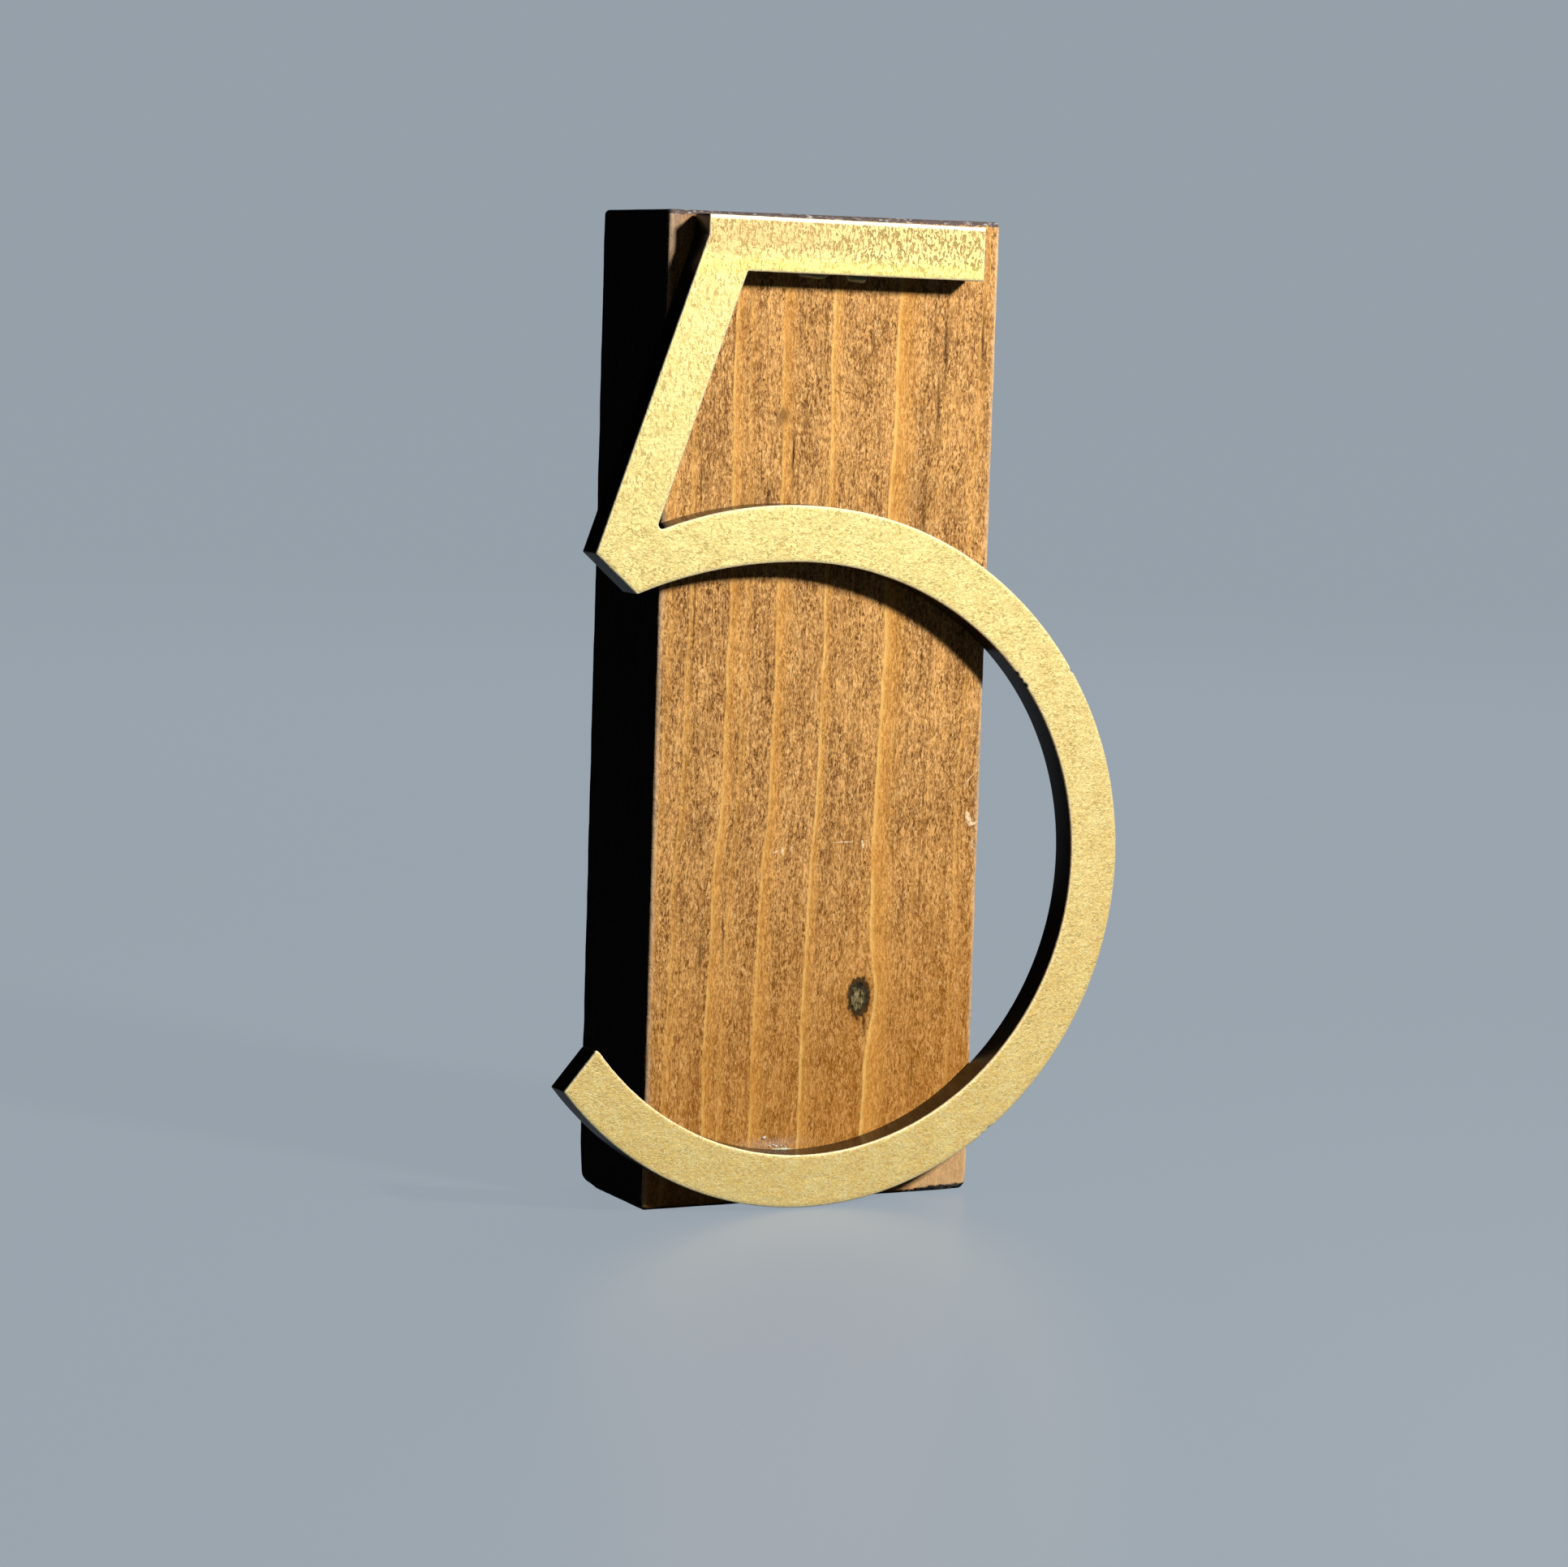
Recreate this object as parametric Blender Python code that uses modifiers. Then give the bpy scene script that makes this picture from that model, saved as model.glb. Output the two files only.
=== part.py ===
"""Table number holder: a stained softwood block that stands on end, with a numeral 5 glued to its front.

Metres, +Z up. The origin is the centre of the block's base, the block's front faces -Y and the
numeral is read from -Y with +X to the right.
"""
from math import atan2, cos, radians, sin, sqrt, tan

import bmesh
import bpy
from mathutils import Matrix

COLLECTION_NAME = "table_number_holder"

# Wood block: a length of planed two-by-four, sawn square and sanded at its edges.
BLOCK_WIDTH = 0.0889
BLOCK_DEPTH = 0.0381
BLOCK_HEIGHT = 0.2390
BLOCK_EDGE_RADIUS = 0.0012
BLOCK_EDGE_SEGMENTS = 3

# Numeral: a plate with a gold face sheet, held off the wood by dabs of glue.
NUMERAL_THICKNESS = 0.0080
FACE_THICKNESS = 0.0006
JOINT_GAP = 0.0003
GLUE_GAP = 0.0010
NUMERAL_LEAN = radians(0.5)

# The numeral's outline has its origin at the bowl's centre: u to the right, v up.
BOWL_CENTRE_X = -0.0046
BOWL_CENTRE_Z = 0.0835
STROKE = 0.0126

# Bowl edges: a round bowl that opens into two flatter crown arcs at its top left.
# Each arc is (radius, the angle where it takes over from the one before).
# The outer edge sits a little low and right, so the stroke is heaviest at the bowl's bottom right.
OUTER_CENTRE = (0.0002, -0.0003)
OUTER_RADIUS = 0.0830
OUTER_CROWN = ((0.0906, radians(30)), (0.1039, radians(80)))
OUTER_END = radians(-141.2)
INNER_CENTRE = (0.0, 0.0)
INNER_RADIUS = OUTER_RADIUS - STROKE
INNER_CROWN = ((0.0819, radians(50)), (0.1176, radians(90)))
INNER_CROWN_END = radians(111.3)
INNER_END = radians(-143.0)

# Stem and bar.
STEM_LEAN = radians(19.2)
STEM_FOOT = (-0.0610, 0.0745)
BAR_TOP = 0.1543
BAR_HEIGHT = 0.0130
BAR_LEFT = -0.0349
BAR_RIGHT = 0.0389

# Distance between neighbouring points on an arc of the outline.
ARC_STEP = radians(3)

# Glue dabs: pressed discs (u, v, half width, half height) behind the parts of the numeral that lie
# on the wood, in the numeral's own outline frame. Two of the bar's squeeze out below it.
DAB_SIDES = 24
DAB_TAPER = 0.96
DAB_THICKNESS = GLUE_GAP - 2 * JOINT_GAP
GLUE_DABS = {
    "glue_bar_left": (-0.0027, 0.1440, 0.0057, 0.0041),
    "glue_bar_middle": (0.0087, 0.1438, 0.0049, 0.0049),
    "glue_bar_right": (0.0285, 0.1478, 0.0070, 0.0040),
    "glue_stem": (-0.0325, 0.1330, 0.0035, 0.0070),
    "glue_crown_left": (-0.0270, 0.0765, 0.0070, 0.0040),
    "glue_crown_middle": (-0.0020, 0.0800, 0.0080, 0.0042),
    "glue_crown_right": (0.0230, 0.0755, 0.0065, 0.0040),
    "glue_foot_left": (-0.0230, -0.0725, 0.0065, 0.0036),
    "glue_foot_middle": (-0.0020, -0.0740, 0.0090, 0.0048),
    "glue_foot_right": (0.0230, -0.0725, 0.0065, 0.0036),
}

BLOCK_FRONT_Y = -BLOCK_DEPTH / 2
NUMERAL_BACK_Y = BLOCK_FRONT_Y - GLUE_GAP
NUMERAL_FRONT_Y = NUMERAL_BACK_Y - NUMERAL_THICKNESS


def clear_scene():
    """Remove every object, so that the model is the only thing in the file."""
    for scene_object in list(bpy.data.objects):
        bpy.data.objects.remove(scene_object, do_unlink=True)


def make_collection(name):
    """Make the collection that the sub-parts go in."""
    collection = bpy.data.collections.new(name)
    bpy.context.scene.collection.children.link(collection)
    return collection


def make_material(name, colour, roughness, metallic):
    """Make a Principled material with one colour."""
    material = bpy.data.materials.new(name)
    material.use_nodes = True
    shader = material.node_tree.nodes["Principled BSDF"]
    shader.inputs["Base Color"].default_value = (*colour, 1.0)
    shader.inputs["Roughness"].default_value = roughness
    shader.inputs["Metallic"].default_value = metallic
    material.diffuse_color = (*colour, 1.0)
    return material


def arc_points(centre, radius, start, end):
    """Points on an arc from one angle to another, both ends included."""
    steps = max(1, round(abs(end - start) / ARC_STEP))
    points = []
    for step in range(steps + 1):
        angle = start + (end - start) * step / steps
        points.append((centre[0] + radius * cos(angle), centre[1] + radius * sin(angle)))
    return points


def crown_centres(centre, radius, crown):
    """Centres of the bowl's arc and its crown arcs, each tangent to the one before."""
    centres = [centre]
    for next_radius, angle in crown:
        u, v = centres[-1]
        shift = radius - next_radius
        centres.append((u + shift * cos(angle), v + shift * sin(angle)))
        radius = next_radius
    return centres


def bowl_edge(centre, radius, crown, crown_end, bowl_end):
    """One edge of the bowl, from the end of its crown clockwise to the end of the bowl."""
    centres = crown_centres(centre, radius, crown)
    radii = [radius] + [arc[0] for arc in crown]
    turns = [bowl_end] + [arc[1] for arc in crown] + [crown_end]
    points = []
    for index in reversed(range(len(radii))):
        arc = arc_points(centres[index], radii[index], turns[index + 1], turns[index])
        points += arc if not points else arc[1:]
    return points


def stem_left(v):
    """The stem's left edge at height v."""
    return STEM_FOOT[0] + (v - STEM_FOOT[1]) * tan(STEM_LEAN)


def stem_right(v):
    """The stem's right edge at height v."""
    return stem_left(v) + STROKE / cos(STEM_LEAN)


def crotch_angle():
    """The angle, on the last outer crown arc, where the stem's right edge meets the bowl."""
    centre_u, centre_v = crown_centres(OUTER_CENTRE, OUTER_RADIUS, OUTER_CROWN)[-1]
    radius = OUTER_CROWN[-1][0]
    # The stem's right edge, seen from the arc's centre, is u = offset + slope * v.
    slope = tan(STEM_LEAN)
    offset = stem_right(centre_v) - centre_u
    reach = sqrt(radius ** 2 * (1 + slope ** 2) - offset ** 2)
    v = (reach - slope * offset) / (1 + slope ** 2)
    return atan2(v, offset + slope * v)


def numeral_outline():
    """The closed outline of the numeral, clockwise from the bar's top left corner."""
    bar_bottom = BAR_TOP - BAR_HEIGHT
    shoulder = STEM_FOOT[1] + (BAR_LEFT - STEM_FOOT[0]) / tan(STEM_LEAN)
    bar = [
        (BAR_LEFT, BAR_TOP),
        (BAR_RIGHT, BAR_TOP),
        (BAR_RIGHT, bar_bottom),
        (stem_right(bar_bottom), bar_bottom),
    ]
    outer = bowl_edge(OUTER_CENTRE, OUTER_RADIUS, OUTER_CROWN, crotch_angle(), OUTER_END)
    inner = bowl_edge(INNER_CENTRE, INNER_RADIUS, INNER_CROWN, INNER_CROWN_END, INNER_END)
    return bar + outer + inner[::-1] + [STEM_FOOT, (BAR_LEFT, shoulder)]


def place_on_numeral(sub_part, y):
    """Turn a flat sub-part to face -Y, with its origin at the bowl's centre and at depth y."""
    sub_part.location = (BOWL_CENTRE_X, y, BOWL_CENTRE_Z)
    sub_part.rotation_euler = (radians(90), NUMERAL_LEAN, 0.0)


def make_wood_block(collection):
    """The block: a box with sanded edges."""
    mesh = bpy.data.meshes.new("wood_block")
    box = bmesh.new()
    size = Matrix.Diagonal((BLOCK_WIDTH, BLOCK_DEPTH, BLOCK_HEIGHT, 1.0))
    bmesh.ops.create_cube(box, size=1.0, matrix=Matrix.Translation((0, 0, BLOCK_HEIGHT / 2)) @ size)
    box.to_mesh(mesh)
    box.free()
    block = bpy.data.objects.new("wood_block", mesh)
    bevel = block.modifiers.new("sanded_edges", "BEVEL")
    bevel.width = BLOCK_EDGE_RADIUS
    bevel.segments = BLOCK_EDGE_SEGMENTS
    bevel.limit_method = "ANGLE"
    mesh.materials.append(make_material("stained_wood", (0.42, 0.21, 0.075), 0.62, 0.0))
    collection.objects.link(block)


def make_numeral_plate(collection, name, back_y, thickness, material):
    """A plate of the numeral's outline, whose back is at back_y."""
    outline = numeral_outline()
    curve = bpy.data.curves.new(name, "CURVE")
    curve.dimensions = "2D"
    curve.fill_mode = "BOTH"
    curve.extrude = thickness / 2
    spline = curve.splines.new("POLY")
    spline.points.add(len(outline) - 1)
    for point, (u, v) in zip(spline.points, outline):
        point.co = (u, v, 0.0, 1.0)
    spline.use_cyclic_u = True
    curve.materials.append(material)
    plate = bpy.data.objects.new(name, curve)
    place_on_numeral(plate, back_y - thickness / 2)
    collection.objects.link(plate)


def make_numeral_core(collection):
    """The numeral's core: the dark plate that shows at its sides."""
    thickness = NUMERAL_THICKNESS - FACE_THICKNESS - JOINT_GAP
    material = make_material("numeral_edge", (0.012, 0.010, 0.009), 0.2, 0.0)
    make_numeral_plate(collection, "numeral_core", NUMERAL_BACK_Y, thickness, material)


def make_numeral_face(collection):
    """The gold sheet on the core's front."""
    material = make_material("gold_face", (0.86, 0.71, 0.33), 0.4, 0.8)
    back_y = NUMERAL_FRONT_Y + FACE_THICKNESS
    make_numeral_plate(collection, "numeral_face", back_y, FACE_THICKNESS, material)


def make_glue_dab(collection, name, dab, material):
    """A dab of glue in the gap between the wood and the numeral, just clear of both."""
    u, v, half_width, half_height = dab
    mesh = bpy.data.meshes.new(name)
    disc = bmesh.new()
    bmesh.ops.create_cone(
        disc,
        cap_ends=True,
        segments=DAB_SIDES,
        radius1=1.0,
        radius2=DAB_TAPER,
        depth=DAB_THICKNESS,
        matrix=Matrix.Translation((u, v, 0)) @ Matrix.Diagonal((half_width, half_height, 1, 1)),
    )
    disc.to_mesh(mesh)
    disc.free()
    mesh.materials.append(material)
    glue = bpy.data.objects.new(name, mesh)
    place_on_numeral(glue, BLOCK_FRONT_Y - GLUE_GAP / 2)
    collection.objects.link(glue)


def shade_round_pieces(collection):
    """Shade the rounded meshes smooth up to their real corners."""
    for sub_part in collection.objects:
        if sub_part.type == "MESH":
            sub_part.data.shade_smooth()
            sub_part.data.set_sharp_from_angle(angle=radians(30))


def main():
    """Build the holder."""
    clear_scene()
    collection = make_collection(COLLECTION_NAME)
    make_wood_block(collection)
    make_numeral_core(collection)
    make_numeral_face(collection)
    glue = make_material("clear_glue", (0.62, 0.68, 0.55), 0.3, 0.0)
    for name, dab in GLUE_DABS.items():
        make_glue_dab(collection, name, dab, glue)
    shade_round_pieces(collection)


main()
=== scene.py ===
"""Looks of a table number holder: a stained wood block on end, with a gold numeral 5 glued to its front.

Metres, +Z up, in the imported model's frame: the block stands on z = 0 and the numeral is read from -Y.
Surface patterns, and the places of the marks on the wood, are in millimetres.
"""
from math import atan2, cos, exp, hypot, pi, radians, sin, sqrt, tan

import bmesh
import bpy
from mathutils import Matrix, Vector, noise
from mathutils.geometry import delaunay_2d_cdt
from mathutils.kdtree import KDTree


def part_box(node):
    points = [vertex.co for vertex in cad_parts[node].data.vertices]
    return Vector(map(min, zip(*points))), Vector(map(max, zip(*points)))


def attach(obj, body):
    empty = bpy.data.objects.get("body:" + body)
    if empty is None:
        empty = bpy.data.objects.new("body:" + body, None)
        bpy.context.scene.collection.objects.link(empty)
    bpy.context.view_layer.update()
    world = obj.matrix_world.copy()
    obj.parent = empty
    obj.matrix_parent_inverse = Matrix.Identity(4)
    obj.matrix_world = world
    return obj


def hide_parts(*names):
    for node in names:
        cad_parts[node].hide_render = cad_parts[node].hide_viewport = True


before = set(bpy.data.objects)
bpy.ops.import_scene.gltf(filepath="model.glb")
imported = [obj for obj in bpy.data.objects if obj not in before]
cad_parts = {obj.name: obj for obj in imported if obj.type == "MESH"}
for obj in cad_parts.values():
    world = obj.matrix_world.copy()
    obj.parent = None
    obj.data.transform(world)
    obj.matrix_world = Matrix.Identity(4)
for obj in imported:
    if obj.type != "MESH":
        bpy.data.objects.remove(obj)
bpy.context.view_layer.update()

MM = 0.001

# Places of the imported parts: the wood's front, and the numeral's front and back.
BLOCK_LOW, BLOCK_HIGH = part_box("wood_block")
FACE_LOW, FACE_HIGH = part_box("numeral_face")
WOOD_Y = BLOCK_LOW.y
GOLD_Y = FACE_LOW.y
CORE_BACK_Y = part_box("numeral_core")[1].y

# Places that the surface patterns are laid out from, in millimetres, and the numeral's lean.
BLOCK_FRONT = BLOCK_LOW.y / MM
BLOCK_SIDE = BLOCK_HIGH.x / MM
BLOCK_TOP = BLOCK_HIGH.z / MM
NUMERAL_TOP = FACE_HIGH.z / MM
NUMERAL_SLOPE = tan(radians(0.5))
BAR_HEIGHT = 13.1
BAR_BOTTOM = NUMERAL_TOP - BAR_HEIGHT

# Wood block.
EDGE_RADIUS = 1.15 * MM
EDGE_WEAR = 0.35 * MM
FINE_WEAR = 0.14 * MM
PLANER_WAVE = 0.05 * MM
EDGE_ROWS = (0.0, 0.22, 0.44, 0.66, 0.88, 1.1, 1.35, 1.65, 2.1, 2.8, 3.8)
BLOCK_CELL = 1.2 * MM

# Corners of the block's base that are knocked rounder: (corner, extra radius, reach).
KNOCKED_CORNERS = (
    (Vector((BLOCK_HIGH.x, BLOCK_LOW.y, BLOCK_LOW.z)), 0.9 * MM, 7 * MM),
    (Vector((BLOCK_LOW.x, BLOCK_HIGH.y, BLOCK_LOW.z)), 2.2 * MM, 10 * MM),
)

# Numeral.
OUTLINE_STEP = 0.5 * MM
CORNER_TURN = radians(10)
CORNER_RADIUS = 0.35 * MM
ACUTE_TURN = radians(100)
ACUTE_RADIUS = 1.0 * MM
FILLET_STEP = 0.2 * MM
FILM_THICKNESS = 0.65 * MM
FILM_GAP = 0.02 * MM
FACE_CELL = 0.6 * MM
RIM_WIDTH = 1.5 * MM
RIM_ROWS = (0.12, 0.3, 0.55, 0.85, 1.2)
RIM_DROP = 0.13 * MM
LIP_WIDTH = 0.25 * MM
LIP_DROP = 0.16 * MM
PALE_RIM = 0.45 * MM
FILM_SWELL = 0.035 * MM
FILM_CRINKLE = 0.03 * MM
FILM_ROUGHNESS = 0.04 * MM
FILM_SHARP_ANGLE = radians(50)

# The numeral's core: its arrises, and how far each ring of points from front to back is inset.
ARRIS = 0.12 * MM
ARRIS_END = 0.5 * MM
CORE_INSETS = (0.14 * MM, 0.04 * MM, 0.02 * MM, 0.04 * MM, 0.02 * MM, 0.04 * MM, 0.14 * MM)
CORE_RIPPLE = 0.02 * MM
CORE_SHARP_ANGLE = radians(35)

# Chips in the gold film: where it shows the black edge. (x, z, half width, depth) in millimetres.
FILM_CHIPS = (
    (63.6, 130.0, 0.9, 0.5),
    (48.6, 129.3, 0.7, 0.5),
    (50.0, 127.9, 0.6, 0.35),
    (51.2, 126.6, 0.8, 0.6),
    (45.5, 16.8, 1.1, 0.45),
    (43.6, 15.4, 0.6, 0.3),
)

# Burrs at the film's lower left end: (x, z, half width, length) in millimetres.
FILM_BURRS = (
    (-67.0, 36.4, 0.7, 0.9),
    (-61.6, 41.4, 0.8, 0.5),
)

# Glue beads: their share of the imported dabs' size, and how they swell where they squeeze out.
BEAD_WIDTH = 0.86
BEAD_HEIGHT = 0.8
BAR_BEAD_HEIGHT = 0.95
BEAD_LUMPS = 0.30
BEAD_SWELL = 0.7 * MM
BEAD_SWELL_REACH = 0.6 * MM
BEAD_OFF_WOOD = 0.01 * MM
BEAD_OFF_CORE = 0.03 * MM

# Crumbs of dried glue: (x, z, radius) in millimetres.
GLUE_CRUMBS = (
    (-12.3, 16.1, 0.50),
    (-10.6, 13.9, 0.30),
    (-9.7, 14.2, 0.24),
    (-8.9, 13.8, 0.34),
    (-7.6, 13.9, 0.22),
    (-6.4, 13.6, 0.26),
)
CRUMB_SEED = 7

# Camera: a little lower than the block's top, and to the left of its front.
CAMERA_AIM = (-0.00803, -0.01548, 0.10223)
CAMERA_DISTANCE = 1.0733
CAMERA_YAW = radians(26.56)
CAMERA_PITCH = radians(6.116)
CAMERA_ROLL = radians(1.78)
CAMERA_LENS = 101.78
CAMERA_SENSOR = 36.0

# Lights.
KEY_AZIMUTH = radians(26)
KEY_REACH = 0.70
KEY_HEIGHT = 0.49
KEY_SIZE = 0.095
KEY_WATTS = 8.0
KEY_COLOUR = (1.0, 0.97, 0.92)
FILL_PLACE = (-0.9, -1.3, 1.1)
FILL_SIZE = 1.4
FILL_WATTS = 0.25
FILL_COLOUR = (1.0, 0.98, 0.95)
BACK_PLACE = (0.8, 1.2, 1.3)
BACK_SIZE = 1.2
BACK_WATTS = 16.0
BACK_COLOUR = (0.95, 0.97, 1.0)
# Shares of the floor's glow that light the object and that show in its reflections.
FLOOR_BOUNCE = 0.02
FLOOR_MIRROR = 0.30
# The backdrop that the camera sees, and the dim room that lights the object.
BACKDROP = (0.305, 0.352, 0.400)
ROOM_LIGHT = (0.003, 0.0029, 0.0026)


def srgb(red, green, blue):
    """A colour given as 0 to 255 display values, in the linear values that shaders take."""
    linear = []
    for value in (red, green, blue):
        share = value / 255
        linear.append(share / 12.92 if share <= 0.04045 else ((share + 0.055) / 1.055) ** 2.4)
    return (*linear, 1.0)


class Wire:
    """A number in a shader's node tree. Adding or scaling wires adds math nodes."""

    def __init__(self, shader, socket):
        self.shader = shader
        self.socket = socket

    def __add__(self, other):
        return self.shader.math("ADD", self, other)

    def __sub__(self, other):
        return self.shader.math("SUBTRACT", self, other)

    def __rsub__(self, other):
        return self.shader.math("SUBTRACT", other, self)

    def __mul__(self, other):
        return self.shader.math("MULTIPLY", self, other)

    def __truediv__(self, other):
        return self.shader.math("DIVIDE", self, other)

    __radd__ = __add__
    __rmul__ = __mul__


class Shader:
    """A Principled material under construction, with short names for the nodes it uses."""

    def __init__(self, name):
        self.material = bpy.data.materials.new(name)
        self.material.use_nodes = True
        self.tree = self.material.node_tree
        self.principled = self.tree.nodes["Principled BSDF"]

    def node(self, kind, **settings):
        """A new node with its properties set."""
        node = self.tree.nodes.new(kind)
        for name, value in settings.items():
            setattr(node, name, value)
        return node

    def feed(self, socket, value):
        """Link a wire to a socket, or set the socket's own value."""
        if isinstance(value, Wire):
            self.tree.links.new(value.socket, socket)
        else:
            socket.default_value = value

    def math(self, operation, *values):
        """The result of a math node on wires or plain numbers."""
        node = self.node("ShaderNodeMath", operation=operation)
        for socket, value in zip(node.inputs, values):
            self.feed(socket, value)
        return Wire(self, node.outputs[0])

    def position(self):
        """The point's place in millimetres, as three wires."""
        place = self.node("ShaderNodeTexCoord")
        split = self.node("ShaderNodeSeparateXYZ")
        self.tree.links.new(place.outputs["Object"], split.inputs[0])
        return [Wire(self, output) / MM for output in split.outputs]

    def noise(self, x, y, z, detail=2.0, roughness=0.5, distortion=0.0):
        """Fractal noise from 0 to 1. The three wires are already divided by the pattern's size."""
        join = self.node("ShaderNodeCombineXYZ")
        for socket, value in zip(join.inputs, (x, y, z)):
            self.feed(socket, value)
        node = self.node("ShaderNodeTexNoise")
        self.tree.links.new(join.outputs[0], node.inputs["Vector"])
        node.inputs["Scale"].default_value = 1.0
        node.inputs["Detail"].default_value = detail
        node.inputs["Roughness"].default_value = roughness
        node.inputs["Distortion"].default_value = distortion
        return Wire(self, node.outputs["Fac"])

    def step(self, value, low, high):
        """0 below low and 1 above high, with a smooth change between. It falls if low is above high."""
        node = self.node("ShaderNodeMapRange", interpolation_type="SMOOTHSTEP")
        self.feed(node.inputs["Value"], value)
        self.feed(node.inputs["From Min"], low)
        self.feed(node.inputs["From Max"], high)
        return Wire(self, node.outputs["Result"])

    def patches(self, x, y, z, low, high, **settings):
        """Fractal noise made into patches: 0 where it is below low and 1 where it is above high."""
        return self.step(self.noise(x, y, z, **settings), low, high)

    def bell(self, value, width):
        """1 at zero, falling off to nothing at about twice the width."""
        share = value / width
        return self.math("EXPONENT", share * share * -1.0)

    def mix(self, share, first, second):
        """The first colour where share is 0 and the second where it is 1."""
        node = self.node("ShaderNodeMix", data_type="RGBA", clamp_factor=True)
        # The node has a set of sockets for each type of value. These are the ones for colours.
        for socket, value in zip((node.inputs[0], node.inputs[6], node.inputs[7]), (share, first, second)):
            self.feed(socket, value)
        return Wire(self, node.outputs[2])

    def attribute(self, name):
        """A number that the mesh holds at each vertex."""
        node = self.node("ShaderNodeAttribute", attribute_name=name)
        return Wire(self, node.outputs["Fac"])

    def bump(self, height):
        """Raise the surface by a height in millimetres."""
        node = self.node("ShaderNodeBump")
        node.inputs["Distance"].default_value = MM
        self.feed(node.inputs["Height"], height)
        self.tree.links.new(node.outputs[0], self.principled.inputs["Normal"])

    def set(self, **values):
        """Set or link the Principled shader's inputs, named with underscores for spaces."""
        for name, value in values.items():
            self.feed(self.principled.inputs[name.replace("_", " ")], value)
        return self.material


# Colours of the stained wood, among them a brown that also paints shadow and a pale that paints light.
STAIN_DARK = srgb(112, 65, 22)
STAIN_PALE = srgb(250, 189, 112)
FLECK_DARK = srgb(84, 48, 10)
FLECK_PALE = srgb(254, 212, 148)
VEIN = srgb(108, 64, 18)
AGED_OCHRE = srgb(184, 112, 0)
HONEY_DARK = srgb(190, 116, 36)
HONEY_PALE = srgb(244, 174, 78)
GROWTH_PALE = srgb(252, 208, 124)
CHECK_DARK = srgb(50, 26, 8)
SMUDGE_AND_SHADOW_BROWN = srgb(96, 66, 30)
CORNER_GREY = srgb(158, 134, 120)
PAINTED_LIGHT_PALE = srgb(255, 222, 172)
KNOT_HALO = srgb(168, 112, 48)
KNOT_DARK = srgb(58, 50, 26)
KNOT_OLIVE = srgb(166, 150, 104)
KNOT_PIT = srgb(32, 26, 14)
SCRATCH_PALE = srgb(255, 226, 184)
GLUE_HAZE = srgb(226, 208, 190)
EDGE_PALE = srgb(236, 206, 168)

# Colours of the black paint, and of what shows where it is thin or chipped.
PAINT_DARK = srgb(24, 22, 22)
PAINT_STREAK = srgb(46, 43, 41)
PAINT_THIN = srgb(124, 108, 104)
PAINT_CHIPPED = srgb(212, 208, 200)

# Colours of the gold film: a dark and a pale tone at its foot, and at its top, where their lemon tint is
# painted sheen.
GOLD_FOOT_DARK = srgb(230, 186, 102)
GOLD_FOOT_PALE = srgb(255, 246, 184)
GOLD_TOP_SHEEN_DARK = srgb(202, 181, 108)
GOLD_TOP_SHEEN_PALE = srgb(244, 232, 166)
GOLD_BLOTCH = srgb(250, 222, 128)
GOLD_SHADE_TAN = srgb(206, 172, 116)
GOLD_HIGHLIGHT_LEMON = srgb(240, 232, 110)
GOLD_CREASE_SHADE = srgb(164, 132, 62)
GOLD_WORM_SHADE = srgb(140, 118, 56)
GOLD_TOP_EDGE_HIGHLIGHT = srgb(255, 250, 226)
GOLD_RIM = srgb(255, 246, 214)

# Colours of the numeral's black body and of the glue.
BLACK_DARK = srgb(13, 10, 4)
BLACK_SMEAR = srgb(28, 21, 9)
DUST = srgb(120, 112, 100)
GLUE_DULL = srgb(204, 214, 158)
GLUE_BRIGHT = srgb(244, 248, 208)
CRUMB_DULL = srgb(222, 214, 200)
CRUMB_BRIGHT = srgb(250, 246, 238)

# Growth lines on the front: (x at the top, width of the pale line, its strength,
# width of the honey band to its right, its strength). Widths in millimetres.
GROWTH_LINES = (
    (-41.6, 0.45, 0.30, 1.4, 0.35),
    (-36.2, 0.40, 0.40, 1.6, 0.45),
    (-25.6, 0.45, 0.75, 2.6, 0.75),
    (-21.6, 0.50, 0.25, 1.6, 0.35),
    (-12.9, 0.45, 0.60, 2.8, 0.80),
    (0.1, 0.45, 0.90, 2.0, 0.70),
    (17.5, 0.60, 1.00, 4.6, 1.00),
    (40.2, 0.30, 0.30, 1.0, 0.30),
)

# Drying checks: (x, z at the middle, half length, half width, darkness).
CHECKS = (
    (-10.0, 182.0, 6.0, 0.32, 1.15),
    (-34.2, 175.0, 6.0, 0.24, 0.8),
    (30.4, 209.0, 8.0, 0.42, 1.0),
    (28.9, 194.0, 7.0, 0.42, 0.8),
    (40.6, 210.0, 8.0, 0.32, 0.9),
    (26.0, 166.5, 4.5, 0.42, 0.8),
    (-25.0, 67.0, 6.0, 0.26, 0.8),
    (-31.0, 62.0, 4.0, 0.46, 0.8),
    (-35.1, 143.0, 12.0, 0.22, 0.7),
    (28.3, 76.0, 5.0, 0.34, 0.7),
    (23.6, 76.0, 4.0, 0.34, 0.6),
    (27.7, 31.0, 5.0, 0.26, 0.7),
    (-16.5, 171.0, 3.5, 0.50, 0.8),
)

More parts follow.
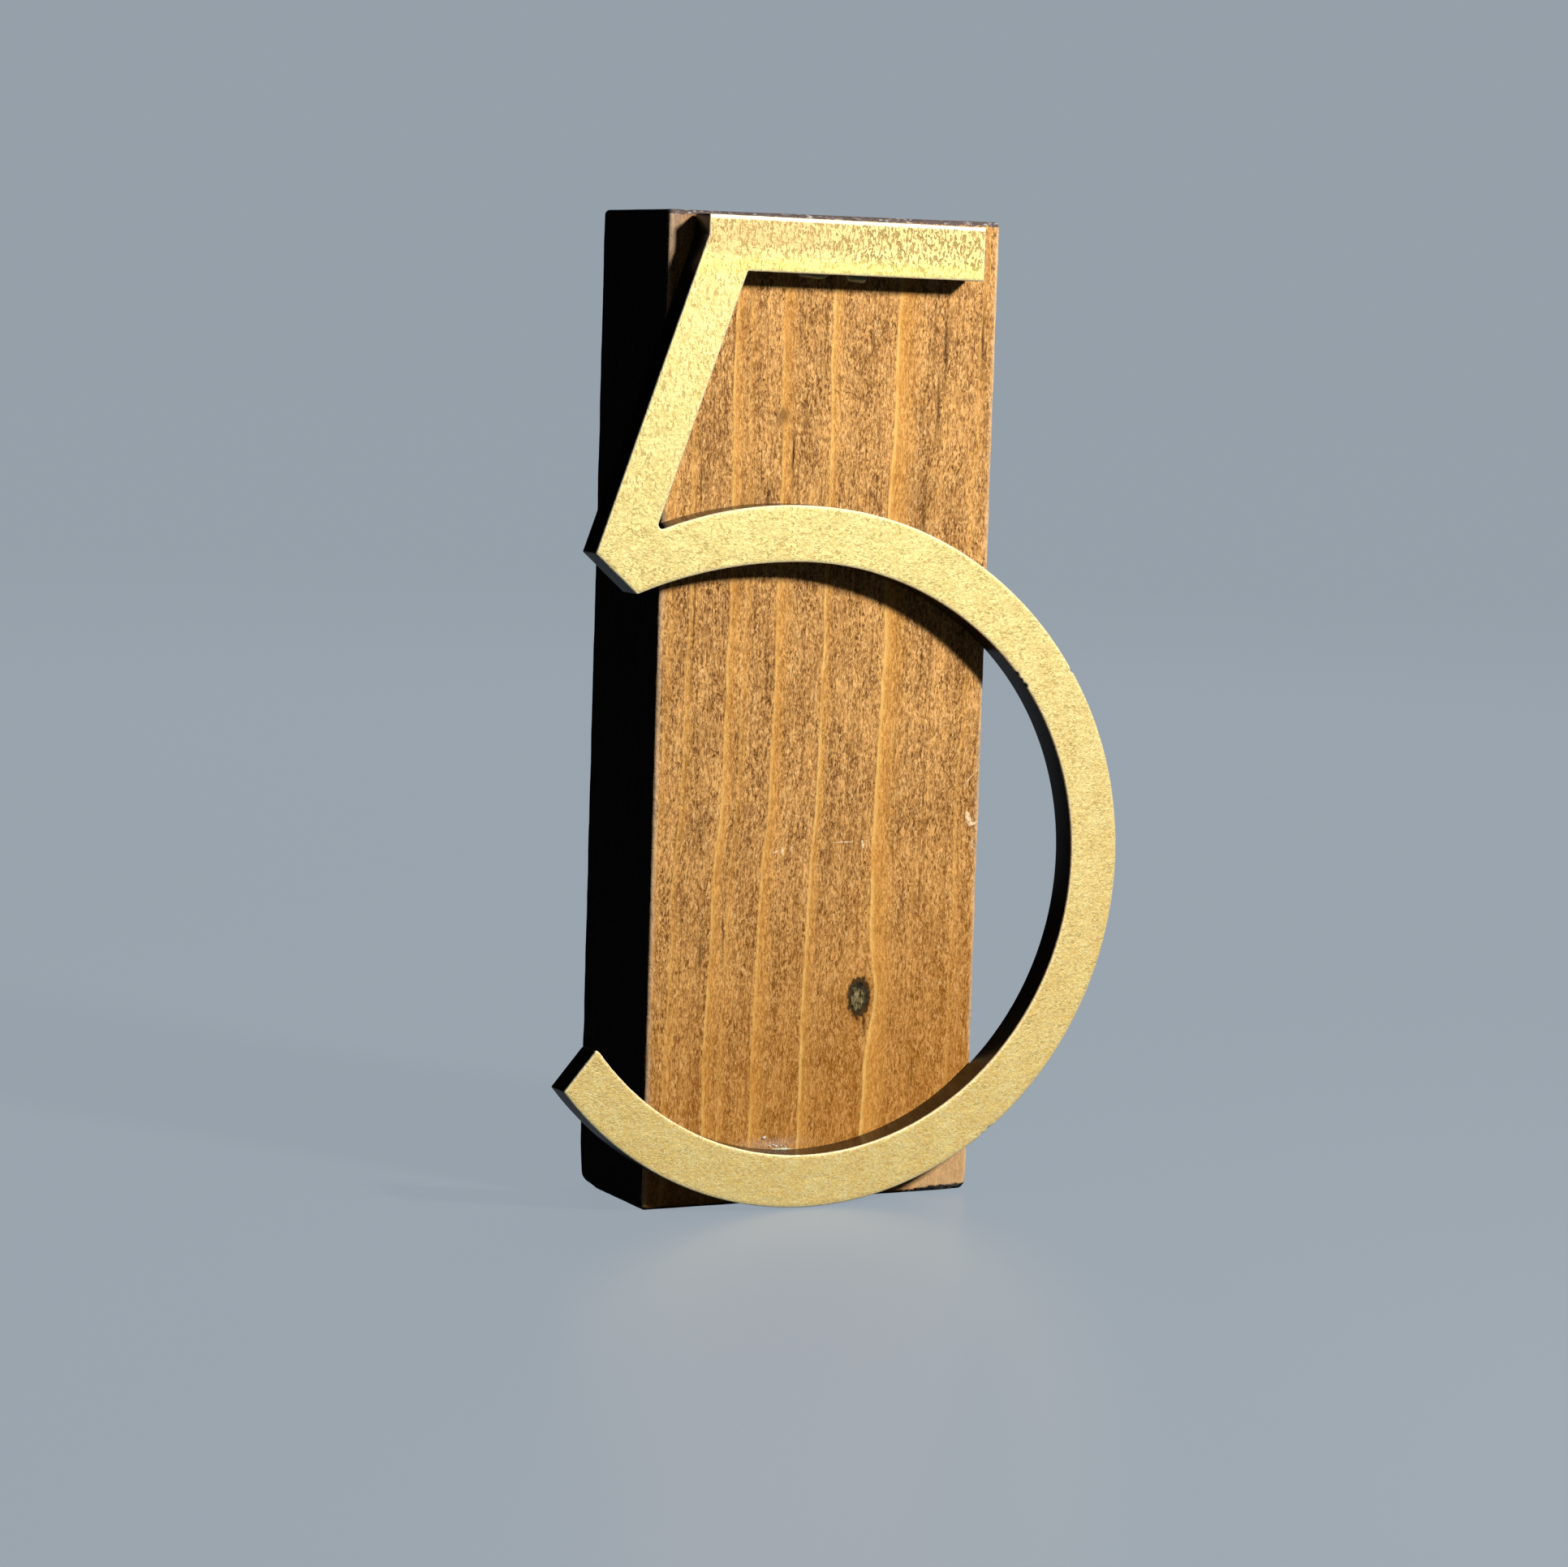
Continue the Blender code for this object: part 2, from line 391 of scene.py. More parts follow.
# Places where the stain took darker, and two patches of painted shadow where the numeral shades the wood:
# (x, z, half width, half height, strength).
SMUDGES_AND_SHADOWS = (
    # Painted shadow: where the stem shades the wood at the top left corner.
    (-36.0, 230.0, 3.0, 14.0, 1.0),
    (-13.0, 191.0, 1.6, 2.2, 1.0),
    (-19.0, 168.0, 7.0, 7.0, 0.45),
    (24.0, 171.0, 5.0, 12.0, 0.35),
    # Painted shadow: where the bowl shades the wood at the bottom left.
    (-36.0, 2.0, 14.0, 8.0, 0.4),
    (36.0, 200.0, 9.0, 70.0, 0.14),
    (33.0, 0.0, 2.6, 1.8, 1.0),
    (37.5, 0.8, 1.2, 2.2, 0.8),
    (43.6, 0.0, 2.4, 1.9, 0.9),
    (3.0, 84.0, 3.5, 5.0, 0.35),
)

# Rubs and scratches: (x, z, half width, half height, slope, strength).
SCUFFS = (
    (-11.6, 86.0, 2.0, 0.45, 0.25, 0.8),
    (-7.2, 86.6, 0.5, 1.4, 0.0, 0.7),
    (-9.6, 86.2, 0.35, 1.6, 0.0, 0.8),
    (7.0, 88.0, 5.0, 0.35, 0.02, 0.75),
    (12.2, 87.2, 0.5, 1.6, 0.0, 0.9),
    (41.2, 93.2, 1.0, 1.6, -0.8, 1.2),
    (43.0, 91.8, 1.6, 0.5, 0.2, 1.0),
    (42.5, 87.0, 0.5, 3.0, 0.0, 0.7),
    (41.6, 103.2, 2.6, 0.22, 0.95, 1.0),
    (-39.5, 101.5, 2.2, 0.25, -0.40, 0.5),
)

# The knot: its middle, and half its width and height.
KNOT_X, KNOT_Z = 12.4, 49.6
KNOT_HALF_WIDTH, KNOT_HALF_HEIGHT = 2.9, 4.7


def bell(value, width):
    """1 at zero, falling off to nothing at about twice the width."""
    return exp(-((value / width) ** 2))


def fade(value, width):
    """0 well below zero and 1 well above it."""
    return 1 / (1 + exp(-value / width))


def knot_distance(x, z):
    """How far a place on the front is from the knot's middle, where 1 is its rim."""
    return hypot((x - KNOT_X) / KNOT_HALF_WIDTH, (z - KNOT_Z) / KNOT_HALF_HEIGHT)


def grain_coordinate(x, y, z):
    """x straightened along the grain: it wanders, leans left below the middle and parts round the knot."""
    below = 130.0 - z
    lean = 0.033 * (below + hypot(below, 20.0)) / 2
    wander = 1.2 * noise.noise(Vector((x / 70, y / 70, z / 34)))
    ripple = 0.35 * noise.noise(Vector((x / 20, 8.0 + y / 20, z / 10)))
    # Right of the middle, the grain is set over to the left between these two heights.
    bend = 1.2 * fade(x - 4.0, 3.0) * fade(z - 75.0, 9.0) * fade(182.0 - z, 6.0)
    aside = bell(x - KNOT_X, 6.5) * bell(z - KNOT_Z, 10.0)
    return x + lean + wander + ripple + bend - (x - KNOT_X) * aside * 0.75


def smudge_and_shadow_depth(x, z):
    """How dark the stain's smudges and the painted shadows are at a place on the front."""
    return sum(
        strength * bell(x - place, half_width) * bell(z - height, half_height)
        for place, height, half_width, half_height, strength in SMUDGES_AND_SHADOWS
    )


def growth_ramp(shader, grain, lines):
    """The pale start and the honey fade of some growth lines, from one ramp across the grain."""
    first = lines[0][0] - 2.0
    span = lines[-1][0] + 4.0 - first
    node = shader.node("ShaderNodeValToRGB")
    shader.feed(node.inputs[0], (grain - first) / span)
    stops = [(first, 0.0, 0.0)]
    for place, width, strength, band, band_strength in lines:
        if stops[-1][0] > place - 0.4:
            stops.pop()
        stops.append((place - 0.35, 0.0, 0.0))
        stops.append((place, strength, band_strength))
        stops.append((place + width * 1.6, strength * 0.12, band_strength * 0.8))
        stops.append((place + band * 1.5, 0.0, 0.0))
    ramp = node.color_ramp
    for place, pale, honey in stops[1:]:
        stop = ramp.elements.new((place - first) / span)
        stop.color = (pale, honey, 0.0, 1.0)
    for end in (ramp.elements[0], ramp.elements[-1]):
        end.color = (0.0, 0.0, 0.0, 1.0)
    split = shader.node("ShaderNodeSeparateColor")
    shader.tree.links.new(node.outputs[0], split.inputs[0])
    return Wire(shader, split.outputs[0]), Wire(shader, split.outputs[1])


class Fibres:
    """What the wood's patterns are made from: a place on the block, its grain and the fibres there."""

    def __init__(self, wood):
        self.x, self.y, self.z = wood.position()
        self.grain = wood.attribute("grain")
        self.along = self.grain + self.y
        self.cloud = wood.patches(self.grain / 6.0, 0.0, self.z / 22.0, 0.34, 0.66, detail=3.0)
        self.mottle = wood.patches(self.along / 0.80, 5.0, self.z / 1.7, 0.38, 0.62, distortion=1.6)
        self.fibre = wood.patches(self.along / 0.45, 9.0, self.z / 2.4, 0.38, 0.62, distortion=0.6)


def add_stain(wood, here):
    """Stain: cloudy, mottled by short squiggles of fibre, with dark flecks along the grain.

    Returns the colour and how strong the flecks are.
    """
    tone = here.cloud * 0.26 + here.mottle * 0.44 + here.fibre * 0.30
    colour = wood.mix(tone, STAIN_DARK, STAIN_PALE)
    squiggle = wood.noise(here.along / 0.56, 2.0, here.z / 1.5, roughness=0.6, distortion=1.2)
    patch = wood.patches(here.grain / 4.0, 4.0, here.z / 8.0, 0.40, 0.64)
    fleck = wood.step(squiggle, 0.54, 0.64) * (patch * 0.56 + 0.34)
    colour = wood.mix(fleck, colour, FLECK_DARK)
    colour = wood.mix(wood.step(squiggle, 0.45, 0.34) * 0.60, colour, FLECK_PALE)
    vein = wood.patches(here.grain / 0.85, 15.0, here.z / 20.0, 0.52, 0.68, detail=3.0)
    colour = wood.mix(vein * (here.fibre * 0.45 + 0.2), colour, VEIN)
    age = wood.step(here.z - here.x * 0.35, 110.0, -10.0)
    return wood.mix(age * 0.50, colour, AGED_OCHRE), fleck


def add_growth_lines(wood, here, colour):
    """Growth lines: each starts at a thin pale line, then fades off to its right through honey.

    Returns the colour and how strong the pale lines and the honey are.
    """
    left_pale, left_honey = growth_ramp(wood, here.grain, GROWTH_LINES[:4])
    right_pale, right_honey = growth_ramp(wood, here.grain, GROWTH_LINES[4:])
    breaks = wood.patches(here.grain / 9.0, 11.0, here.z / 13.0, 0.36, 0.54) * 0.6 + 0.4
    pale = (left_pale + right_pale) * breaks
    honey = left_honey + right_honey
    streaks = here.mottle * 0.35 + here.fibre * 0.35 + 0.3
    colour = wood.mix(honey * 0.78, colour, wood.mix(streaks, HONEY_DARK, HONEY_PALE))
    return wood.mix(pale * 0.85, colour, GROWTH_PALE), pale, honey


def add_checks_smudges_and_shadows(wood, here, colour):
    """Drying checks, smudges where the stain took darker, and painted shadows. Returns the colour and the
    checks' depth.
    """
    crooked = here.x + (wood.noise(here.x / 4.0, 5.0, here.z / 3.0, detail=3.0) - 0.5) * 1.1
    dark = 0.0
    for place, middle, half_length, half_width, darkness in CHECKS:
        across = wood.bell(crooked - place, half_width)
        dark = across * wood.bell(here.z - middle, half_length) * darkness + dark
    colour = wood.mix(dark * (here.mottle * 0.25 + 0.75), colour, CHECK_DARK)
    # Smudges of real stain, and patches of painted shadow.
    smudge_and_shadow = wood.attribute("smudge_and_shadow") * (here.fibre * 0.5 + here.mottle * 0.35 + 0.45)
    return wood.mix(wood.step(smudge_and_shadow, 0.08, 0.85) * 0.72, colour, SMUDGE_AND_SHADOW_BROWN), dark


def add_corner_grey_and_light(wood, here, colour):
    """Greyer wood in the top left corner, and a pale wash of painted light near the foot on the right."""
    x, z = here.x, here.z
    corner_grey = wood.step(x - (z - BLOCK_TOP) * 0.3, -36.0, -42.0) * wood.step(z, 206.0, 236.0)
    colour = wood.mix(corner_grey * 0.75, colour, CORNER_GREY)
    # Painted light: a pale wash that brightens the wood near the foot on the right.
    painted_light = wood.step(x, 20.0, 33.0) * wood.step(z + (here.cloud - 0.5) * 6.0, 16.0, 8.0)
    return wood.mix(painted_light * 0.42, colour, PAINTED_LIGHT_PALE)


def add_knot(wood, here, colour):
    """The knot: a streaky olive heart in a dark ring, with a hole at its top and a crack below it.

    Returns the colour, the distance from the knot's middle and how deep its pits are.
    """
    x = here.x - KNOT_X
    z = here.z - KNOT_Z
    flutter = (wood.noise(here.x / 1.1, 6.0, here.z / 1.6, detail=3.0) - 0.5) * 0.9
    ring = wood.attribute("knot") + flutter
    colour = wood.mix(wood.step(ring, 1.9, 0.95) * 0.45, colour, KNOT_HALO)
    grey = wood.patches(here.x / 0.55, 1.0, here.z / 1.7, 0.38, 0.62, detail=3.0)
    heart = wood.mix(grey, KNOT_DARK, KNOT_OLIVE)
    colour = wood.mix(wood.step(ring, 0.92, 0.70), colour, heart)
    thin = wood.step(x + z * 0.5, -1.8, 2.4)
    rim = wood.step(ring, 0.50 - thin * 0.14, 0.74 - thin * 0.10) * wood.step(ring, 1.20, 1.0)
    hole = wood.bell(x - 0.4, 1.5) * wood.bell(z - 3.0, 1.5)
    crack = wood.bell(x - 1.6 + (z + 6.6) * 0.08, 0.34) * wood.bell(z + 6.6, 3.4)
    pit = wood.math("MAXIMUM", wood.math("MAXIMUM", rim * 0.88, hole * 1.2), crack * 0.8)
    return wood.mix(pit, colour, KNOT_PIT), ring, pit


def add_rubs(wood, here, colour):
    """Rubs and scratches that lift the stain, and a haze of dried glue above the bowl's bottom.

    Returns the colour and how strong the rubs are.
    """
    x, z = here.x, here.z
    grit = wood.noise(x / 0.55, 7.0, z / 0.55, detail=3.0, roughness=0.6)
    scuff = 0.0
    for place, height, half_width, half_height, slope, strength in SCUFFS:
        across = wood.bell(x - place, half_width)
        scuff = across * wood.bell(z - height - (x - place) * slope, half_height) * strength + scuff
    scuff = wood.step(scuff * (grit * 2.0 - 0.25), 0.30, 0.70)
    colour = wood.mix(scuff * 0.9, colour, SCRATCH_PALE)
    haze = wood.bell(x + 10.5, 7.0) * wood.bell(z - 14.4, 1.3) * wood.step(grit, 0.36, 0.60)
    return wood.mix(haze * 0.5, colour, GLUE_HAZE), scuff


def add_edges_and_paint(wood, here, colour):
    """The front's edges, sanded pale, and the black paint on every other side and over the top edge.

    Returns the colour and how much of it is paint.
    """
    x, y, z = here.x, here.y, here.z
    rub = wood.noise(x / 3.0, y / 3.0, z / 5.0, detail=4.0, roughness=0.6)
    nibble = wood.noise(x / 0.9, y / 0.9, z / 2.2, detail=3.0, roughness=0.6)
    edge = wood.math("ABSOLUTE", x) - (rub - 0.5) * 2.4 - (nibble - 0.5) * 1.0
    worn = wood.step(edge, BLOCK_SIDE - 1.75, BLOCK_SIDE - 0.55) * (rub * 0.9 + 0.05)
    colour = wood.mix(worn, colour, EDGE_PALE)

    depth = y - BLOCK_FRONT
    height = z + (wood.noise(x / 2.2, 3.0, z / 1.5, detail=4.0, roughness=0.65) - 0.5) * 1.8
    top_strip = wood.step(height, BLOCK_TOP - 1.3, BLOCK_TOP - 1.0)
    bottom_strip = wood.step(height - wood.step(x, 22.0, 40.0) * (rub + 0.4), 0.9, 0.45)
    past_edge = wood.step(depth + (rub - 0.5) * 1.2 + (nibble - 0.5) * 0.5, 0.55, 0.75)
    paint = wood.math("MAXIMUM", wood.math("MAXIMUM", top_strip, bottom_strip), past_edge)
    streak = wood.patches(x / 1.2, y / 1.2, z / 18.0, 0.35, 0.65, detail=3.0)
    black = wood.mix(streak, PAINT_DARK, PAINT_STREAK)

    # Over the front's top edge the paint is thin and chipped, with the pale ground showing.
    thin_paint = wood.step(height, BLOCK_TOP - 2.0, BLOCK_TOP - 1.4) * wood.step(depth, 2.2, 0.9)
    black = wood.mix(thin_paint * (nibble * 0.7 + rub * 0.5), black, PAINT_THIN)
    chipped = wood.patches(x / 1.7, y / 0.8, z / 0.6, 0.52, 0.60, detail=4.0, roughness=0.7)
    chipped = chipped * wood.patches(x / 7.0, 12.0, 0.0, 0.42, 0.58)
    nick = chipped * wood.step(depth, 2.0, 0.9) * (wood.step(z, 200.0, BLOCK_TOP - 3.0) * 0.75 + 0.25)
    black = wood.mix(nick * 0.85, black, PAINT_CHIPPED)
    return wood.mix(paint, colour, black), paint


def stained_wood():
    """Stained softwood on the front; matt black paint on every other side, rubbed through at the edges."""
    wood = Shader("stained_wood")
    here = Fibres(wood)
    colour, fleck = add_stain(wood, here)
    colour, pale, honey = add_growth_lines(wood, here, colour)
    colour, dark = add_checks_smudges_and_shadows(wood, here, colour)
    colour = add_corner_grey_and_light(wood, here, colour)
    colour, ring, pit = add_knot(wood, here, colour)
    colour, scuff = add_rubs(wood, here, colour)
    colour, paint = add_edges_and_paint(wood, here, colour)

    relief = here.mottle * 0.035 + here.fibre * 0.03 - fleck * 0.06 - dark * 0.14
    relief = relief + pale * 0.02 + scuff * 0.03
    relief = relief + wood.step(ring, 0.9, 0.5) * 0.10 - pit * 0.16
    wood.bump(relief * (1.0 - paint * 0.5))
    roughness = 0.58 + (here.mottle - 0.5) * 0.10 - honey * 0.05 + scuff * 0.1 + paint * 0.3
    return wood.set(Base_Color=colour, Roughness=roughness, Specular_IOR_Level=0.10)


def gold_film():
    """Pale gold film with a crinkled grain, with painted shade and light: tan and lemon across the bar,
    lemon sheen towards the top, shade in the creases, and a paler rim where it turns over an edge, partly
    painted highlight.
    """
    gold = Shader("gold_face")
    x, y, z = gold.position()
    rim = gold.attribute("rim")
    upper = gold.step(z, 158.0, 176.0)
    bar = gold.step(z, BAR_BOTTOM - 2.0, BAR_BOTTOM + 2.0)
    right = gold.step(x, -20.0, 12.0)

    # Fine worm-like creases: upright on the bar and above, level on the bowl. Their dark colour is painted
    # shade, on top of their bump.
    upright = gold.noise(x / 0.70, 0.0, z / 1.60, detail=1.0, distortion=1.0)
    level = gold.noise(x / 1.25, 3.0, z / 0.70, detail=1.0, distortion=1.2)
    soft = level + (upright - level) * upper
    broken = gold.patches(x / 3.0, 4.0, z / 3.0, 0.36, 0.62)
    crease = gold.step(soft, 0.53, 0.61) * (broken * 0.7 + 0.3) * gold.step(z, -60.0, 60.0)
    worm = gold.step(soft, 0.49, 0.60) * bar * (right * 0.65 + 0.35)
    worm = worm * gold.step(z + x * 0.04, BAR_BOTTOM + 1.0, BAR_BOTTOM + 5.0)

    fine = gold.patches(x / 0.42, 7.0, z / 0.42, 0.34, 0.66, roughness=0.6)
    grain = gold.patches(x / 0.9, 5.0, z / 0.9, 0.34, 0.66, detail=3.0, roughness=0.6)
    cloud = gold.patches(x / 6.0, 2.0, z / 6.0, 0.36, 0.64, detail=3.0)
    tone = fine * 0.30 + grain * 0.50 + cloud * 0.20
    # Painted sheen: orange at the foot turning lemon towards the top, as the key light's highlight does.
    height = gold.step(z, 20.0, 190.0)
    low = gold.mix(height, GOLD_FOOT_DARK, GOLD_TOP_SHEEN_DARK)
    high = gold.mix(height, GOLD_FOOT_PALE, GOLD_TOP_SHEEN_PALE)
    colour = gold.mix(tone, low, high)
    blotch = gold.patches(x / 1.6, 8.0, z / 1.2, 0.42, 0.60, distortion=0.8)
    colour = gold.mix(blotch * gold.step(z, 120.0, 40.0) * 0.45, colour, GOLD_BLOTCH)
    # Painted shade and highlight: tan on the bar's upper part and lemon at its foot, for its pillowed
    # front.
    bar_top_shade = bar * gold.step(z, BAR_BOTTOM + 2.5, BAR_BOTTOM + 7.0)
    bar_foot_highlight = bar * gold.step(z, BAR_BOTTOM + 4.5, BAR_BOTTOM + 1.5)
    colour = gold.mix(bar_top_shade * (0.74 - right * 0.32), colour, GOLD_SHADE_TAN)
    colour = gold.mix(bar_foot_highlight * 0.35, colour, GOLD_HIGHLIGHT_LEMON)
    # Painted shade in the creases.
    colour = gold.mix(crease * 0.46, colour, GOLD_CREASE_SHADE)
    colour = gold.mix(worm * 0.60, colour, GOLD_WORM_SHADE)
    # Painted highlight along the top edge of the bar.
    top_edge_highlight = gold.step(z + x * NUMERAL_SLOPE, NUMERAL_TOP - 1.6, NUMERAL_TOP - 0.9)
    colour = gold.mix(top_edge_highlight * 0.85, colour, GOLD_TOP_EDGE_HIGHLIGHT)
    # A pale rim at every edge: partly the film's own pale edge, partly painted highlight.
    colour = gold.mix(rim * 0.8, colour, GOLD_RIM)

    gold.bump(grain * 0.022 + fine * 0.012 - crease * 0.035 - worm * 0.07)
    roughness = 0.60 + (fine - 0.5) * 0.12 + crease * 0.1
    return gold.set(Base_Color=colour, Metallic=0.6, Roughness=roughness, Specular_IOR_Level=0.5)


def black_edge():
    """Polished black: the cut edge of the numeral, with fine marks along the cut and a little dust."""
    body = Shader("numeral_edge")
    x, y, z = body.position()
    cut = body.noise(x / 9.0, y / 0.35, z / 9.0, detail=3.0)
    smear = body.noise(x / 3.0, y / 3.0, z / 3.0, detail=3.0, roughness=0.6)
    dust = body.patches(x / 0.5, y / 0.5, z / 0.5, 0.70, 0.78)
    colour = body.mix(smear, BLACK_DARK, BLACK_SMEAR)
    colour = body.mix(dust * 0.2, colour, DUST)
    body.bump(cut * 0.012 + smear * 0.02)
    roughness = 0.18 + smear * 0.16 + dust * 0.3
    return body.set(Base_Color=colour, Roughness=roughness, Specular_IOR_Level=0.38)


def cloudy_glue(name, dull, bright):
    """Hot-melt glue: cloudy, with a wet shine."""
    glue = Shader(name)
    x, y, z = glue.position()
    cloud = glue.noise(x / 1.4, y / 1.4, z / 1.4, detail=3.0)
    colour = glue.mix(cloud, dull, bright)
    glue.bump(glue.noise(x / 0.8, y / 0.8, z / 0.8) * 0.08)
    glue.set(Base_Color=colour, Roughness=0.24 + cloud * 0.15)
    return glue.set(
        Subsurface_Weight=0.5,
        Subsurface_Radius=(1.0, 1.0, 0.8),
        Subsurface_Scale=0.001,
        Transmission_Weight=0.08,
        IOR=1.48,
    )


def new_piece(name, shape, material, replaced, sharp_angle=None):
    """Show a shape as a smooth piece of the object, which rides on the object's one body."""
    mesh = bpy.data.meshes.new(name)
    shape.to_mesh(mesh)
    shape.free()
    mesh.shade_smooth()
    if sharp_angle:
        mesh.set_sharp_from_angle(angle=sharp_angle)
    mesh.materials.append(material)
    piece = bpy.data.objects.new(name, mesh)
    bpy.context.scene.collection.objects.link(piece)
    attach(piece, "root")
    if replaced:
        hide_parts(replaced)


def grid_lines(low, high):
    """Coordinates across a face of the block: close together at both edges, even in the middle."""
    near = [low + row * MM for row in EDGE_ROWS]
    far = [high - row * MM for row in reversed(EDGE_ROWS)]
    cells = round((far[0] - near[-1]) / BLOCK_CELL)
    middle = [near[-1] + (far[0] - near[-1]) * cell / cells for cell in range(1, cells)]
    return near + middle + far


def add_grid(mesh, axis, level, lines, outward):
    """A grid on one face of a box: the face's fixed axis and level, and the lines along the other two."""
    first, second = [other for other in range(3) if other != axis]
    rows = []
    for place in lines[first]:
        row = []
        for side_place in lines[second]:
            point = [0.0, 0.0, 0.0]
            point[axis] = level
            point[first] = place
            point[second] = side_place
            row.append(mesh.verts.new(point))
        rows.append(row)
    for near_row, far_row in zip(rows, rows[1:]):
        for corners in zip(near_row, near_row[1:], far_row[1:], far_row):
            mesh.faces.new(corners if outward else corners[::-1])


def worn_radius(point):
    """The radius of the block's sanded edge at a place: uneven, with a few deeper knocks."""
    place = point / (9 * MM)
    fine = point / (2.2 * MM)
    wear = EDGE_WEAR * noise.noise(place) + FINE_WEAR * noise.noise(fine)
    knocked = sum(
        extra * max(0.0, 1 - (point - corner).length / reach)
        for corner, extra, reach in KNOCKED_CORNERS
    )
    return EDGE_RADIUS + wear + knocked


def rounded(point):
    """Move a point on the sharp box onto the box with worn, rounded edges."""
    radius = worn_radius(point)
    inner = Vector(
        [
            min(max(point[axis], BLOCK_LOW[axis] + radius), BLOCK_HIGH[axis] - radius)
            for axis in range(3)
        ]
    )
    out = point - inner
    return inner + out.normalized() * radius


def make_block(material):
    """The wood block, with its worn edges and a slight waviness left by the planer."""
    lines = [grid_lines(BLOCK_LOW[axis], BLOCK_HIGH[axis]) for axis in range(3)]
    grid = bmesh.new()
    for axis in range(3):
        for level, outward in ((BLOCK_LOW[axis], axis == 1), (BLOCK_HIGH[axis], axis != 1)):
            add_grid(grid, axis, level, lines, outward)
    bmesh.ops.remove_doubles(grid, verts=grid.verts, dist=1e-6)
    bmesh.ops.recalc_face_normals(grid, faces=grid.faces)
    for vertex in grid.verts:
        vertex.co = rounded(vertex.co)
    grain = grid.verts.layers.float.new("grain")
    smudge_and_shadow = grid.verts.layers.float.new("smudge_and_shadow")
    knot = grid.verts.layers.float.new("knot")
    for vertex in grid.verts:
        x, y, z = vertex.co / MM
        vertex[grain] = grain_coordinate(x, y, z)
        vertex[smudge_and_shadow] = smudge_and_shadow_depth(x, z) if y < 0 else 0.0
        vertex[knot] = knot_distance(x, z) if y < 0 else 9.0
    for vertex in grid.verts:
        if vertex.normal.z > -0.5:
            x, y, z = vertex.co / MM
            wave = noise.noise(Vector((x / 12, y / 12, z / 50)))
            vertex.co -= vertex.normal * PLANER_WAVE * (1 + wave)
    new_piece("block", grid, material, "wood_block")


def cad_outline():
    """The numeral's outline, in order, as (x, z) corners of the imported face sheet's front."""
    shape = bmesh.new()
    shape.from_mesh(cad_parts["numeral_face"].data)
    bmesh.ops.remove_doubles(shape, verts=shape.verts, dist=1e-6)
    shape.normal_update()
    ahead = {}
    for edge in shape.edges:
        front = [face for face in edge.link_faces if face.normal.y < -0.9]
        if len(front) == 1:
            for loop in front[0].loops:
                if loop.edge == edge:
                    ahead[loop.vert] = loop.link_loop_next.vert
    start = next(iter(ahead))
    outline = [start]
    while ahead[outline[-1]] != start:
        outline.append(ahead[outline[-1]])
    points = [Vector((vertex.co.x, vertex.co.z)) for vertex in outline]
    shape.free()
    return points


def turn_at(points, index):
    """The angle by which the outline turns at a point, positive to the left."""
    before = points[index] - points[index - 1]
    after = points[(index + 1) % len(points)] - points[index]
    return atan2(before.x * after.y - before.y * after.x, before.dot(after))


def fillet(corner, before, after, turn, radius):
    """Points on the arc that rounds a corner between two directions."""
    reach = radius * tan(abs(turn) / 2)
    start = corner - before * reach
    side = Vector((-before.y, before.x)) * (1 if turn > 0 else -1)
    centre = start + side * radius
    steps = max(3, round(abs(turn) * radius / FILLET_STEP))
    arc = []
    for step in range(steps + 1):
        angle = turn * step / steps
        spoke = Matrix.Rotation(angle, 2) @ (start - centre)
        arc.append(centre + spoke)
    return arc


def spline(points, start_direction, end_direction):
    """Evenly spaced points on a smooth curve through a stretch of the outline, both ends included."""
    result = [points[0]]
    for index in range(len(points) - 1):
        near, far = points[index], points[index + 1]
        length = (far - near).length
        into = (far - points[index - 1]).normalized() if index else start_direction
        out = (points[index + 2] - near).normalized() if index + 2 < len(points) else end_direction
        steps = max(1, round(length / OUTLINE_STEP))
        for step in range(1, steps + 1):
            t = step / steps
            blend = (3 - 2 * t) * t * t
            place = near * (1 - blend) + far * blend
            leave = into * (length * ((t - 2) * t + 1) * t)
            arrive = out * (length * (t - 1) * t * t)
            result.append(place + leave + arrive)
    return result


def fine_outline():
    """The numeral's outline with round curves and small corner radii, in steps of half a millimetre."""
    points = cad_outline()
    count = len(points)
    corners = [index for index in range(count) if abs(turn_at(points, index)) > CORNER_TURN]
    outline = []
    for corner, following in zip(corners, corners[1:] + [corners[0] + count]):
        turn = turn_at(points, corner)
        before = (points[corner] - points[corner - 1]).normalized()
        after = (points[(corner + 1) % count] - points[corner]).normalized()
        radius = ACUTE_RADIUS if abs(turn) > ACUTE_TURN else CORNER_RADIUS
        arc = fillet(points[corner], before, after, turn, radius)
        stretch = [points[index % count] for index in range(corner, following + 1)]
        next_turn = abs(turn_at(points, following % count))
        next_radius = ACUTE_RADIUS if next_turn > ACUTE_TURN else CORNER_RADIUS
        last = (stretch[-1] - stretch[-2]).normalized()
        stretch[0] = arc[-1]
        stretch[-1] = stretch[-1] - last * next_radius * tan(next_turn / 2)
        outline += arc[:-1] + spline(stretch, after, last)[:-1]
    return outline


def outward_normals(outline):
    """The outward direction at each point of the outline, which runs anticlockwise."""
    normals = []
    for index, _ in enumerate(outline):
        along = (outline[(index + 1) % len(outline)] - outline[index - 1]).normalized()
        normals.append(Vector((along.y, -along.x)))
    return normals


def is_anticlockwise(outline):
    """True if the outline's area is on its left."""
    area = 0.0
    for index, point in enumerate(outline):
        area += outline[index - 1].x * point.y - outline[index - 1].y * point.x
    return area > 0


